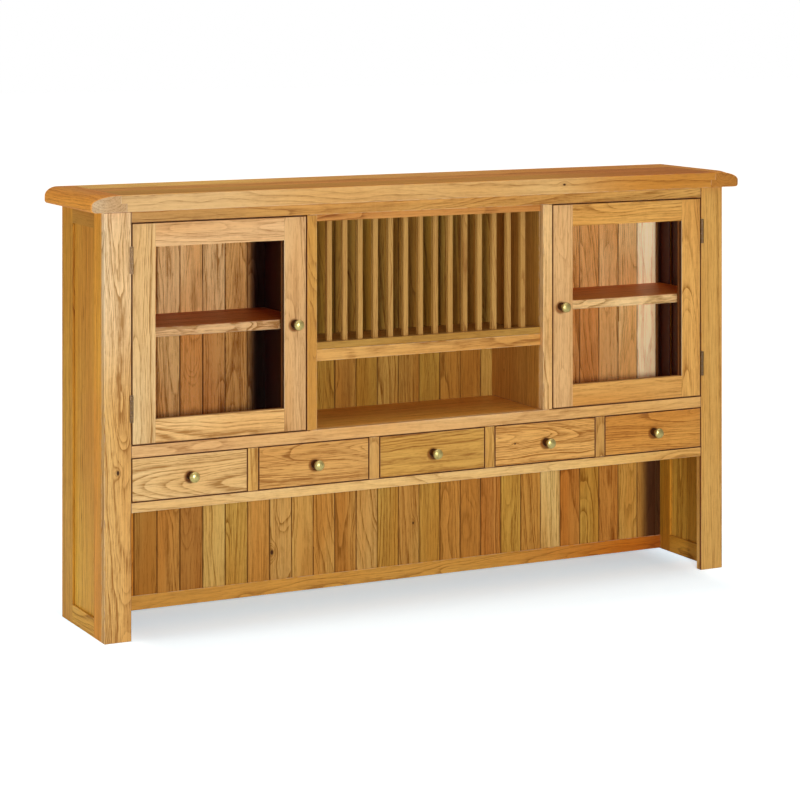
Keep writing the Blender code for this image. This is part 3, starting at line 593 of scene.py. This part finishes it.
# Board tones by number from the left: each column of the back is one board, and its part
# below the drawers was cut from other stock. The board numbered calm has the least figure,
# and those in the left cupboard are bold
stock = dict(w=(226, 191, 127), c=(214, 178, 122), p=(200, 157, 89), h=(196, 144, 76),
             g=(188, 142, 68), t=(186, 132, 66), o=(186, 124, 60), b=(168, 112, 52),
             r=(195, 131, 53), k=(198, 151, 88), d=(170, 119, 54))
backs = dict(
    pitch=0.05976, first=-0.83 + 0.0337, skin=0.002,
    high="ttokhktttggtghtghthtgthhhhwt",
    low="rrdtbpghkhhtkgtghtogtcogopth",
    calm=26.0, calmFigure=0.45, figure=0.75, boldFigure=0.95, rearBlend=0.65, seed=5.0,
    apart=7.3, light=(1.20, 1.22, 1.28), warm=(1.08, 0.86, 0.66), dark=(0.52, 0.36, 0.20),
    pithU=(0.09, -0.045), pithV=(0.05, 0.015), tilt=(0.12, -0.06), ring=(0.004, 0.004),
    joint=(0.0024, 0.0006), hairline=(0.0008, 0.0002), dirt=(0.13, 0.050, 0.012),
    dirtNoise=(40.0, 40.0, 9.0), dirtLevels=(0.3, 0.65), dirtShare=(0.45, 0.45),
    specular=0.08, rough=0.06,
    knots=[(8.0, -0.024, -0.405, 0.007), (14.0, 0.012, -0.37, 0.004)])
# The back shows through five openings: the bay under the drawers, the cupboards, the rack
# and the bay below it. Each has its own light and shade painted in, as do some of its boards
drawerTop, shelfTop, rackFoot = 0.35, 0.705, 0.63
farLeft, rackLeft, rackRight, farRight = -0.9, -0.332, 0.332, 0.9
ground, ceiling = 0.0, 1.1


def boardSides(number):
    left = backs["first"] + number * backs["pitch"]
    return left, left + backs["pitch"]


def zone(left, right, bottom, top, *shade):
    return (left, bottom), (right, top), shade


lightZones = [
    zone(farLeft, farRight, ground, drawerTop, 1.12, 1.20, 1.15),
    zone(*boardSides(0), ground, drawerTop, 1.06, 0.98, 0.72),
    zone(0.33, farRight, ground, drawerTop, 1.03, 0.97, 0.83),
    zone(farLeft, rackLeft, shelfTop, ceiling, 1.44, 1.56, 2.15),
    zone(farLeft, rackLeft, drawerTop, shelfTop, 1.28, 1.30, 1.52),
    zone(*boardSides(5), drawerTop, shelfTop, 0.84, 0.68, 0.52),
    zone(*boardSides(4), shelfTop, ceiling, 1.07, 1.23, 1.60),
    zone(*boardSides(4), drawerTop, shelfTop, 0.97, 0.89, 0.86),
    zone(rackRight, farRight, drawerTop, ceiling, 1.74, 2.02, 3.17),
    zone(*boardSides(22), shelfTop, ceiling, 0.95, 0.90, 0.82),
    zone(rackRight, boardSides(24)[0], drawerTop, shelfTop, 0.80, 0.64, 0.50),
    zone(*boardSides(24), drawerTop, shelfTop, 0.90, 0.82, 0.72),
    zone(*boardSides(25), drawerTop, shelfTop, 1.10, 1.22, 1.32),
    zone(rackLeft, rackRight, rackFoot, ceiling, 0.60, 0.64, 0.43),
    zone(rackLeft, rackRight, drawerTop, rackFoot, 0.84, 0.90, 0.72)]
# Shade where the boards run into the right-hand walls: from none to full, the end of it,
# and the heights
cornerShade = dict(strength=0.93, shade=(0.03, 0.008, 0.008))
corners = [(-0.392, -0.352, -0.30, drawerTop, ceiling), (0.812, 0.828, 0.9, drawerTop, ceiling),
           (0.750, 0.797, 0.9, ground, drawerTop)]


def palette(tree, index, colours):
    made = put(tree, "ShaderNodeValToRGB")
    made.color_ramp.interpolation = "CONSTANT"
    stops = made.color_ramp.elements
    stops[0].color = (*colours[0], 1.0)
    stops.remove(stops[1])
    for number, colour in enumerate(colours[1:], 1):
        stops.new(number / len(colours)).color = (*colour, 1.0)
    feed(tree, calc(tree, "DIVIDE", calc(tree, "ADD", index, 0.5), float(len(colours))),
         made.inputs["Fac"])
    return made.outputs["Color"]


def columns(tree, x, row):
    # For a row of boards or slats: the number of the one at x, how far x is from its middle
    # and three random values for it
    along = calc(tree, "DIVIDE", calc(tree, "SUBTRACT", x, row["first"]), row["pitch"])
    index = calc(tree, "FLOOR", along)
    across = calc(tree, "SUBTRACT", calc(tree, "FRACT", along), 0.5)
    chance = put(tree, "ShaderNodeTexWhiteNoise", {"W": calc(tree, "ADD", index, row["seed"])},
                 noise_dimensions="1D")
    return (index, calc(tree, "MULTIPLY", across, row["pitch"]),
            *xyz(tree, chance.outputs["Color"]))


def makeBackBoards():
    low, high = (tuple(corner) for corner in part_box("back_boards"))
    material, tree, shader, place, facing = newMaterial("back_boards")
    x, y, z = xyz(tree, place)
    index, across, first, second, third = columns(tree, x, backs)
    rows = [palette(tree, index, [tone(*stock[key]) for key in backs[row]])
            for row in ("low", "high")]
    rearFace = high[1] - backs["skin"]
    front = calc(tree, "LESS_THAN", y, rearFace)
    shown = blendColour(tree, calc(tree, "LESS_THAN", z, drawerTop), rows[1], rows[0])
    rear = blendColour(tree, backs["rearBlend"], rows[1], tone(*stock["h"]))
    base = blendColour(tree, front, rear, shown)
    for x0, x1, x2, z0, z1 in corners:
        mask = inBox(tree, place, (x0, -1.0, z0), (x2, rearFace, z1))
        mask = calc(tree, "MULTIPLY", mask, ramp(tree, x, x0, x1))
        base = blendColour(tree, calc(tree, "MULTIPLY", mask, cornerShade["strength"]), base,
                           cornerShade["shade"])
    # Light and shade painted on the boards of each opening
    for (x0, z0), (x1, z1), shade in lightZones:
        mask = inBox(tree, place, (x0, -1.0, z0), (x1, 1.0, z1))
        mask = calc(tree, "MULTIPLY", mask, front)
        base = vec(tree, "MULTIPLY", base, blendColour(tree, mask, (1.0, 1.0, 1.0), shade))
    bold = inBox(tree, place, (farLeft, -1.0, drawerTop), (rackLeft, rearFace, ceiling))
    knot = noKnot
    for number, *spot in backs["knots"]:
        chosen = calc(tree, "COMPARE", index, number, 0.5)
        knot = [blendValue(tree, chosen, old, new) for old, new in zip(knot, spot)]

    def spread(value, key):
        return calc(tree, "MULTIPLY_ADD", value, *backs[key])

    settings = dict(
        tone=(0, 0, 0), across=across, number=calc(tree, "MULTIPLY", index, backs["apart"]),
        pith=(spread(first, "pithU"), spread(second, "pithV")),
        tilt=(spread(third, "tilt"), spread(first, "tilt")),
        **{key: vec(tree, "MULTIPLY", base, backs[key]) for key in ("light", "warm", "dark")},
        knot=knot, ring=spread(third, "ring"), wave=0.011,
        figure=blendValue(tree, calc(tree, "COMPARE", index, backs["calm"], 0.5),
                          blendValue(tree, bold, backs["figure"], backs["boldFigure"]),
                          backs["calmFigure"]))
    colour, roughness, height = boardColour(tree, place, facing, low, high, settings)
    # Dirt in the V joints, uneven along them, and only a hairline on the flat rear
    edge = calc(tree, "ABSOLUTE", across)
    half = backs["pitch"] / 2
    uneven = noise(tree, vec(tree, "MULTIPLY", place, backs["dirtNoise"]), 2.0)
    uneven = spread(ramp(tree, uneven, *backs["dirtLevels"]), "dirtShare")
    joint, hairline = (ramp(tree, edge, *(half - inset for inset in backs[key]))
                       for key in ("joint", "hairline"))
    joint = blendValue(tree, front, hairline, calc(tree, "MULTIPLY", joint, uneven))
    colour = blendColour(tree, joint, colour, backs["dirt"])
    shader.inputs["Specular IOR Level"].default_value = backs["specular"]
    feedShader(tree, shader, colour, calc(tree, "ADD", roughness, backs["rough"]),
               calc(tree, "SUBTRACT", height, joint), oak["bump"], oak["bumpDepth"])
    dress("back_boards", material)


makeBackBoards()
oakNode("back_bottom_rail", dict(tone=tone(222, 169, 83), grain="X", seed=71, figure=0.5,
                                 fades=[("x", -0.20, -0.70, (0.94, 0.94, 0.95)),
                                        ("x", 0.25, 0.75, (0.85, 0.49, 0.17)),
                                        ("x", 0.74, 0.84, (0.62, 0.54, 0.74))]))
oakNode("back_top_rail", dict(tone=tone(180, 125, 60), grain="X", seed=72, figure=0.5))
print("back")

# The plate rack: two rails and slats

# The slats' left sides have painted light: litSide makes them paler
rack = dict(first=0.0, pitch=0.0412, seed=3.0, apart=5.1, slat=tone(183, 136, 74),
            light=(1.14, 1.04), warm=(1.04, 0.99, 0.92), pith=(0.2, -0.1), figure=0.45,
            litSide=(1.7, 1.7, 1.6))
rackRails = [dict(tone=tone(171, 127, 59), grain="X", seed=86, figure=0.55,
                  box=part("plate_rack", "Z", None, 0.0165)),
             dict(tone=tone(195, 132, 67), grain="X", seed=83, figure=0.55,
                  box=part("plate_rack", "Z", -0.0165, None))]


def makeRack():
    low, high = (tuple(corner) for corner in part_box("plate_rack"))
    material, tree, shader, place, facing = newMaterial("plate_rack")
    index, across, chance = columns(tree, xyz(tree, place)[0], rack)[:3]
    light = blendColour(tree, chance, *(scaled(rack["slat"], by) for by in rack["light"]))
    settings = dict(
        tone=rack["slat"], across=across, number=calc(tree, "MULTIPLY", index, rack["apart"]),
        pith=(calc(tree, "MULTIPLY_ADD", chance, *rack["pith"]), 0.04), light=light,
        warm=scaled(rack["slat"], *rack["warm"]), figure=rack["figure"],
        faces={"x-": rack["litSide"]})
    parts = boardColour(tree, place, facing, low, high, settings)
    for rackRail in rackRails:
        box = rackRail["box"]
        parts = layBoard(tree, place, box, parts,
                         boardColour(tree, place, facing, *box, rackRail))
    shader.inputs["Specular IOR Level"].default_value = oak["specular"]
    feedShader(tree, shader, *parts, oak["bump"], oak["bumpDepth"])
    dress("plate_rack", material)


makeRack()
print("plate rack")

# Doors

doorTones = {
    "left": dict(hinge=tone(217, 180, 128), free=tone(208, 163, 112), top=tone(215, 169, 119),
                 bottom=tone(224, 180, 121)),
    "right": dict(hinge=tone(219, 161, 86), free=tone(213, 164, 110), top=tone(217, 160, 84),
                  bottom=tone(211, 154, 83)),
}
# The bead is painted dark for the shade behind the glass
beadShadeTone = tone(150, 92, 48)
stile, rail, bead = 0.057, 0.055, 0.008
# Marks on a door frame, each with half its width and its strength: the joints of the stiles
# and rails, painted shade in the glass opening and a painted highlight on the lit edge of its
# right side
doorJoint = dict(half=0.0003, strength=0.35)
doorShade = dict(half=0.0007, behind=0.0012, strength=0.85, shade=(0.050, 0.014, 0.010))
doorHighlight = dict(half=0.0006, outer=0.0010, strength=0.5, shade=(0.95, 0.75, 0.48))


def doorLines(low, high):
    found = []
    glassLow, glassHigh = low.z + rail, high.z - rail
    front = low.y + doorShade["behind"]
    for x in (low.x + stile, high.x - stile):
        wide = doorJoint["half"]
        for z0, z1 in ((low.z, glassLow), (glassHigh, high.z)):
            found.append(((x - wide, low.y - 1, z0), (x + wide, high.y + 1, z1),
                          doorJoint["strength"]))
        wide = doorShade["half"]
        found.append(((x - wide, front, glassLow), (x + wide, high.y + 1, glassHigh),
                      doorShade["strength"], doorShade["shade"]))
    found.append(((x - doorHighlight["half"], low.y - 1, glassLow),
                  (x + doorHighlight["outer"], front, glassHigh),
                  doorHighlight["strength"], doorHighlight["shade"]))
    return found


for side, seed in (("left", 91), ("right", 101)):
    name = side + "_door_frame"
    tones = doorTones[side]
    hingeSlice = (None, stile) if side == "left" else (-stile, None)
    freeSlice = (-stile, None) if side == "left" else (None, stile)
    oakNode(name, [
        dict(tone=tones["bottom"], grain="X", seed=seed, box=part(name, "Z", None, rail)),
        dict(tone=tones["top"], grain="X", seed=seed + 1, box=part(name, "Z", -rail, None)),
        dict(tone=tones["hinge"], seed=seed + 2, box=part(name, "X", *hingeSlice)),
        dict(tone=tones["free"], seed=seed + 3, box=part(name, "X", *freeSlice))],
        doorLines(*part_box(name)) + gapEdges(name, "x- x+ z- z+"),
        finish=stained(side + "_door_knob"))
    name = side + "_door_bead"
    oakNode(name, [
        dict(tone=beadShadeTone, grain="X", seed=seed + 5),
        dict(tone=beadShadeTone, seed=seed + 6, box=part(name, "X", None, bead)),
        dict(tone=beadShadeTone, seed=seed + 7, box=part(name, "X", -bead, None))])
print("doors")

# Drawers

drawers = [
    dict(tone=tone(221, 183, 128), pith=(-0.020, 0.026), tilt=(0.02, 0.13), ring=0.0075,
         wave=0.008, figure=0.75),
    dict(tone=tone(203, 149, 82), pith=(0.030, 0.020), tilt=(0.06, 0.07), ring=0.0070,
         wave=0.022, figure=0.9),
    dict(tone=tone(196, 145, 69), pith=(-0.03, 0.030), tilt=(-0.03, 0.03), ring=0.0085,
         wave=0.012, figure=0.8),
    dict(tone=tone(216, 159, 87), pith=(0.012, 0.020), tilt=(0.02, -0.10), ring=0.0062,
         knot=(0.002, -0.088, 0.0035), wave=0.014, figure=0.85),
    dict(tone=tone(207, 143, 66), pith=(0.050, 0.030), tilt=(0.02, 0.04), ring=0.0060,
         wave=0.010, figure=0.8)]

drawerWall, drawerRough = 0.010, 0.12
drawerEnds = dict(tone=tone(214, 176, 122), grain="X", figure=0.45)
drawerSides = dict(tone=tone(210, 170, 116), grain="Y", figure=0.45)
# The tails: how far apart, half of one at the corner as a share of that, and how much less
# it is a metre in
tails = dict(pitch=0.022, half=0.24, slope=-9.0, shade=(0.30, 0.155, 0.055))


def dovetails(name):
    # The corners of a drawer box: end grain of the front and back shows between the tails
    low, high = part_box(name)

    def finish(tree, place, facing, colour):
        x, y, z = xyz(tree, place)
        depth = calc(tree, "MINIMUM", calc(tree, "SUBTRACT", y, low.y),
                     calc(tree, "SUBTRACT", high.y, y))
        tail = calc(tree, "DIVIDE", calc(tree, "SUBTRACT", z, low.z), tails["pitch"])
        tail = calc(tree, "FRACT", tail)
        tail = calc(tree, "ABSOLUTE", calc(tree, "SUBTRACT", tail, 0.5))
        wide = calc(tree, "MULTIPLY_ADD", depth, tails["slope"], tails["half"])
        mask = calc(tree, "MULTIPLY", calc(tree, "LESS_THAN", tail, wide),
                    calc(tree, "LESS_THAN", depth, drawerWall))
        side = calc(tree, "GREATER_THAN", calc(tree, "ABSOLUTE", xyz(tree, facing)[0]), 0.9)
        return blendColour(tree, calc(tree, "MULTIPLY", mask, side), colour, tails["shade"])
    return finish


for number, board in enumerate(drawers, 1):
    oakNode("drawer_%d_front" % number, dict(board, grain="X", seed=110 + number),
            gapEdges("drawer_%d_front" % number, "x- x+ z- z+"),
            finish=stained("drawer_%d_knob" % number))
    name = "drawer_%d_box" % number
    oakNode(name, [
        dict(drawerEnds, seed=120 + number),
        dict(drawerSides, seed=126 + number, box=part(name, "X", None, drawerWall)),
        dict(drawerSides, seed=132 + number, box=part(name, "X", -drawerWall, None))],
        rough=drawerRough, finish=dovetails(name))
print("drawers")

# Brass and glass

brass = dict(base=(0.66, 0.52, 0.18), hinge=(0.15, 0.085, 0.040), dull=(0.22, 0.13, 0.045),
             agedAndShaded=(0.080, 0.024, 0.004), rough=0.26, metal=0.7, bump=0.08, bumpDepth=0.0005,
             tarnish=0.75, polished=0.4, dulled=0.28, fine=0.06, rim=0.45, turn=(0.62, 0.20),
             neck=(0.019, 0.026))
glass = dict(tint=(0.010, 0.014, 0.012), clear=0.015, edge=0.3, ior=1.45,
             smear=(14.0, 14.0, 5.0), rough=(0.05, 0.01))


def makeBrass(name, polish, base, finish):
    material, tree, shader, place, facing = newMaterial(name)
    patch = noise(tree, vec(tree, "MULTIPLY", place, (190.0, 190.0, 190.0)), 4.0, 0.6)
    fine = noise(tree, vec(tree, "MULTIPLY", place, (1400.0, 1400.0, 1400.0)), 2.0)
    tarnish = calc(tree, "MULTIPLY", ramp(tree, patch, 0.42, 0.70),
                   brass["tarnish"] - polish * brass["polished"])
    colour, height = finish(tree, place, facing, blendColour(tree, tarnish, base, brass["dull"]),
                            patch)
    shader.inputs["Metallic"].default_value = brass["metal"]
    level = calc(tree, "MULTIPLY_ADD", tarnish, brass["dulled"], brass["rough"])
    level = calc(tree, "MULTIPLY_ADD", fine, brass["fine"], level)
    feedShader(tree, shader, colour, level, height, brass["bump"], brass["bumpDepth"])
    return material


def darkRim(tree, place, facing, colour, height):
    # Brown round the knob's rim and foot: partly patina where polish never reaches, partly
    # painted shade and dark reflection. The foot is so far behind the crown, and all the knobs
    # stand in one plane
    side = ramp(tree, calc(tree, "ABSOLUTE", xyz(tree, facing)[1]), *brass["turn"])
    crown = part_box("left_door_knob")[0].y
    neck = ramp(tree, xyz(tree, place)[1], *(crown + way for way in brass["neck"]))
    rim = calc(tree, "MULTIPLY", side, brass["rim"])
    return blendColour(tree, calc(tree, "MAXIMUM", rim, neck), colour, brass["agedAndShaded"]), height


screw = dict(radius=0.0026, slot=0.0004, apart=0.021, inset=0.0062, rim=0.00035,
             shade=(0.05, 0.03, 0.012))


def screwHeads(tree, place, facing, colour, height):
    # Three countersunk screws in each leaf. Both hinges are told apart by their heights
    lower, upper = (sum(corner.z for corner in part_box("left_%s_hinge_fixed_leaf" % key)) / 2
                    for key in ("lower", "upper"))
    low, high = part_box("left_lower_hinge_fixed_leaf")
    x, y, z = xyz(tree, place)
    local = calc(tree, "ABSOLUTE", calc(tree, "SUBTRACT", z, (lower + upper) / 2))
    local = calc(tree, "ABSOLUTE", calc(tree, "SUBTRACT", local, (upper - lower) / 2))
    nearest = calc(tree, "MINIMUM", local,
                   calc(tree, "ABSOLUTE", calc(tree, "SUBTRACT", local, screw["apart"])))
    across = calc(tree, "SUBTRACT", y, high.y - screw["inset"])
    away = distance(tree, nearest, across)
    flat = calc(tree, "GREATER_THAN", calc(tree, "ABSOLUTE", xyz(tree, facing)[0]), 0.9)
    rim = calc(tree, "COMPARE", away, screw["radius"], screw["rim"])
    slot = calc(tree, "MULTIPLY", calc(tree, "LESS_THAN", nearest, screw["slot"]),
                calc(tree, "LESS_THAN", away, screw["radius"] * 0.85))
    mark = calc(tree, "MULTIPLY", flat, calc(tree, "MAXIMUM", rim, slot))
    return (blendColour(tree, mark, colour, screw["shade"]),
            calc(tree, "SUBTRACT", height, mark))


knobBrass = makeBrass("knobBrass", 1.0, brass["base"], darkRim)
hingeBrass = makeBrass("hingeBrass", 0.3, brass["hinge"], screwHeads)
for nodeName in nodes:
    if nodeName.endswith("_knob"):
        dress(nodeName, knobBrass)
    elif nodeName.endswith("_leaf"):
        dress(nodeName, hingeBrass)


def makeGlass():
    material, tree, shader, place, facing = newMaterial("paneGlass")
    smear = noise(tree, vec(tree, "MULTIPLY", place, glass["smear"]), 3.0)
    tree.links.new(blendColour(tree, ramp(tree, smear, 0.4, 0.7), glass["tint"],
                               scaled(glass["tint"], 0.9)), shader.inputs["Base Color"])
    tree.links.new(calc(tree, "MULTIPLY_ADD", smear, *glass["rough"]), shader.inputs["Roughness"])
    edge = put(tree, "ShaderNodeFresnel", {"IOR": glass["ior"]}).outputs[0]
    tree.links.new(calc(tree, "MULTIPLY_ADD", edge, glass["edge"], glass["clear"], clamp=True),
                   shader.inputs["Alpha"])
    return material


paneGlass = makeGlass()
for side in ("left", "right"):
    dress(side + "_door_glass", paneGlass)
print("brass and glass")

# Floor, lights and camera

# Where each lamp stands, what it faces, its size and its power
lamps = {"keyLight": ((-0.91, -4.386, 1.15), (0.0, 0.0, 0.55), 0.45, 116.0),
         "leftLight": ((-4.3, 0.10, 0.55), (-0.85, 0.0, 0.55), 1.4, 60.0),
         "topLight": ((0.0, -0.4, 3.2), (0.0, 0.0, 0.0), 4.5, 60.0)}
sky = dict(light=0.14, mirrored=0.16, seen=1.0)
floorPlane = dict(size=30.0, drop=0.0002, base=(0.80, 0.91, 0.965, 1.0))
# The floor glows with a painted light and tint that only the camera sees, weakest near the
# case so that its shadow stays there. Each entry starts with the two distances that a change
# runs between, and a lift of 1 is white
floorLift = dict(near=(-0.10, -0.25, (0.365, 0.45)), front=(-0.27, -0.60, (0.0, 0.3)),
                 beside=((0.72, 0.88), 0.76), away=((1.2, 2.4), 1.0))
floorTint = dict(under=(0.82, 1.02, 1.16), front=((0.03, -0.10), (0.98, 1.0, 1.01)),
                 rear=((0.15, 0.40), (1.08, 0.97, 0.91)))
# What the camera sees behind the case counts as beside it, from here on and at this slope
behind = dict(y=0.12, slope=0.51)
view = dict(place=(-2.8493, -5.5469, 1.4928), turn=-27.028, lens=112.51, shift=-0.5085)


def makeFloor():
    shape = bmesh.new()
    bmesh.ops.create_grid(shape, x_segments=1, y_segments=1, size=floorPlane["size"])
    data = bpy.data.meshes.new("floor")
    shape.to_mesh(data)
    shape.free()
    floor = bpy.data.objects.new("floor", data)
    bpy.context.collection.objects.link(floor)
    floor.location.z = -floorPlane["drop"]
    material, tree, shader, place, facing = newMaterial("floor")
    shader.inputs["Base Color"].default_value = floorPlane["base"]
    shader.inputs["Roughness"].default_value = 1.0
    shader.inputs["Specular IOR Level"].default_value = 0.0
    path = put(tree, "ShaderNodeLightPath")
    # The painted glow grows slowly in front, so the shadow fades out slowly. Beside the case and
    # where the camera sees behind it, the glow clears the floor to plain white
    x, y, z = xyz(tree, place)
    hidden = calc(tree, "MAXIMUM", calc(tree, "SUBTRACT", y, behind["y"]), 0.0)
    beside = calc(tree, "MULTIPLY_ADD", hidden, behind["slope"], calc(tree, "ABSOLUTE", x))
    lift = calc(tree, "ADD", ramp(tree, y, *floorLift["near"]),
                ramp(tree, y, *floorLift["front"]))
    for way, key in ((beside, "beside"), (distance(tree, x, y), "away")):
        span, strength = floorLift[key]
        lift = blendValue(tree, ramp(tree, way, *span), lift, strength)
    tint = floorTint["under"]
    for key in ("front", "rear"):
        span, shade = floorTint[key]
        tint = blendColour(tree, ramp(tree, y, *span), tint, shade)
    lift = calc(tree, "MULTIPLY", path.outputs["Is Camera Ray"], lift)
    tree.links.new(tint, shader.inputs["Emission Color"])
    tree.links.new(lift, shader.inputs["Emission Strength"])
    data.materials.append(material)


def makeLamp(name, place, target, size, power):
    data = bpy.data.lights.new(name, "AREA")
    data.shape = "DISK"
    data.size = size
    data.energy = power
    lamp = bpy.data.objects.new(name, data)
    bpy.context.collection.objects.link(lamp)
    lamp.location = place
    lamp.rotation_euler = (Vector(target) - Vector(place)).to_track_quat("-Z", "Y").to_euler()


def makeWorld():
    world = bpy.data.worlds.new("studio")
    bpy.context.scene.world = world
    world.use_nodes = True
    tree = world.node_tree
    back = tree.nodes["Background"]
    back.inputs["Color"].default_value = (1.0, 1.0, 1.0, 1.0)
    path = put(tree, "ShaderNodeLightPath")
    level = blendValue(tree, path.outputs["Is Glossy Ray"], sky["light"], sky["mirrored"])
    level = blendValue(tree, path.outputs["Is Camera Ray"], level, sky["seen"])
    tree.links.new(level, back.inputs["Strength"])


def makeCamera():
    data = bpy.data.cameras.new("camera")
    data.sensor_width = 36.0
    data.lens = view["lens"]
    data.shift_y = view["shift"]
    data.clip_end = 100.0
    camera = bpy.data.objects.new("camera", data)
    bpy.context.collection.objects.link(camera)
    camera.location = view["place"]
    camera.rotation_euler = (math.radians(90), 0.0, math.radians(view["turn"]))
    bpy.context.scene.camera = camera


makeFloor()
for lampName, lampSettings in lamps.items():
    makeLamp(lampName, *lampSettings)
makeWorld()
makeCamera()
bpy.context.scene.view_settings.view_transform = "Standard"
print("stage")
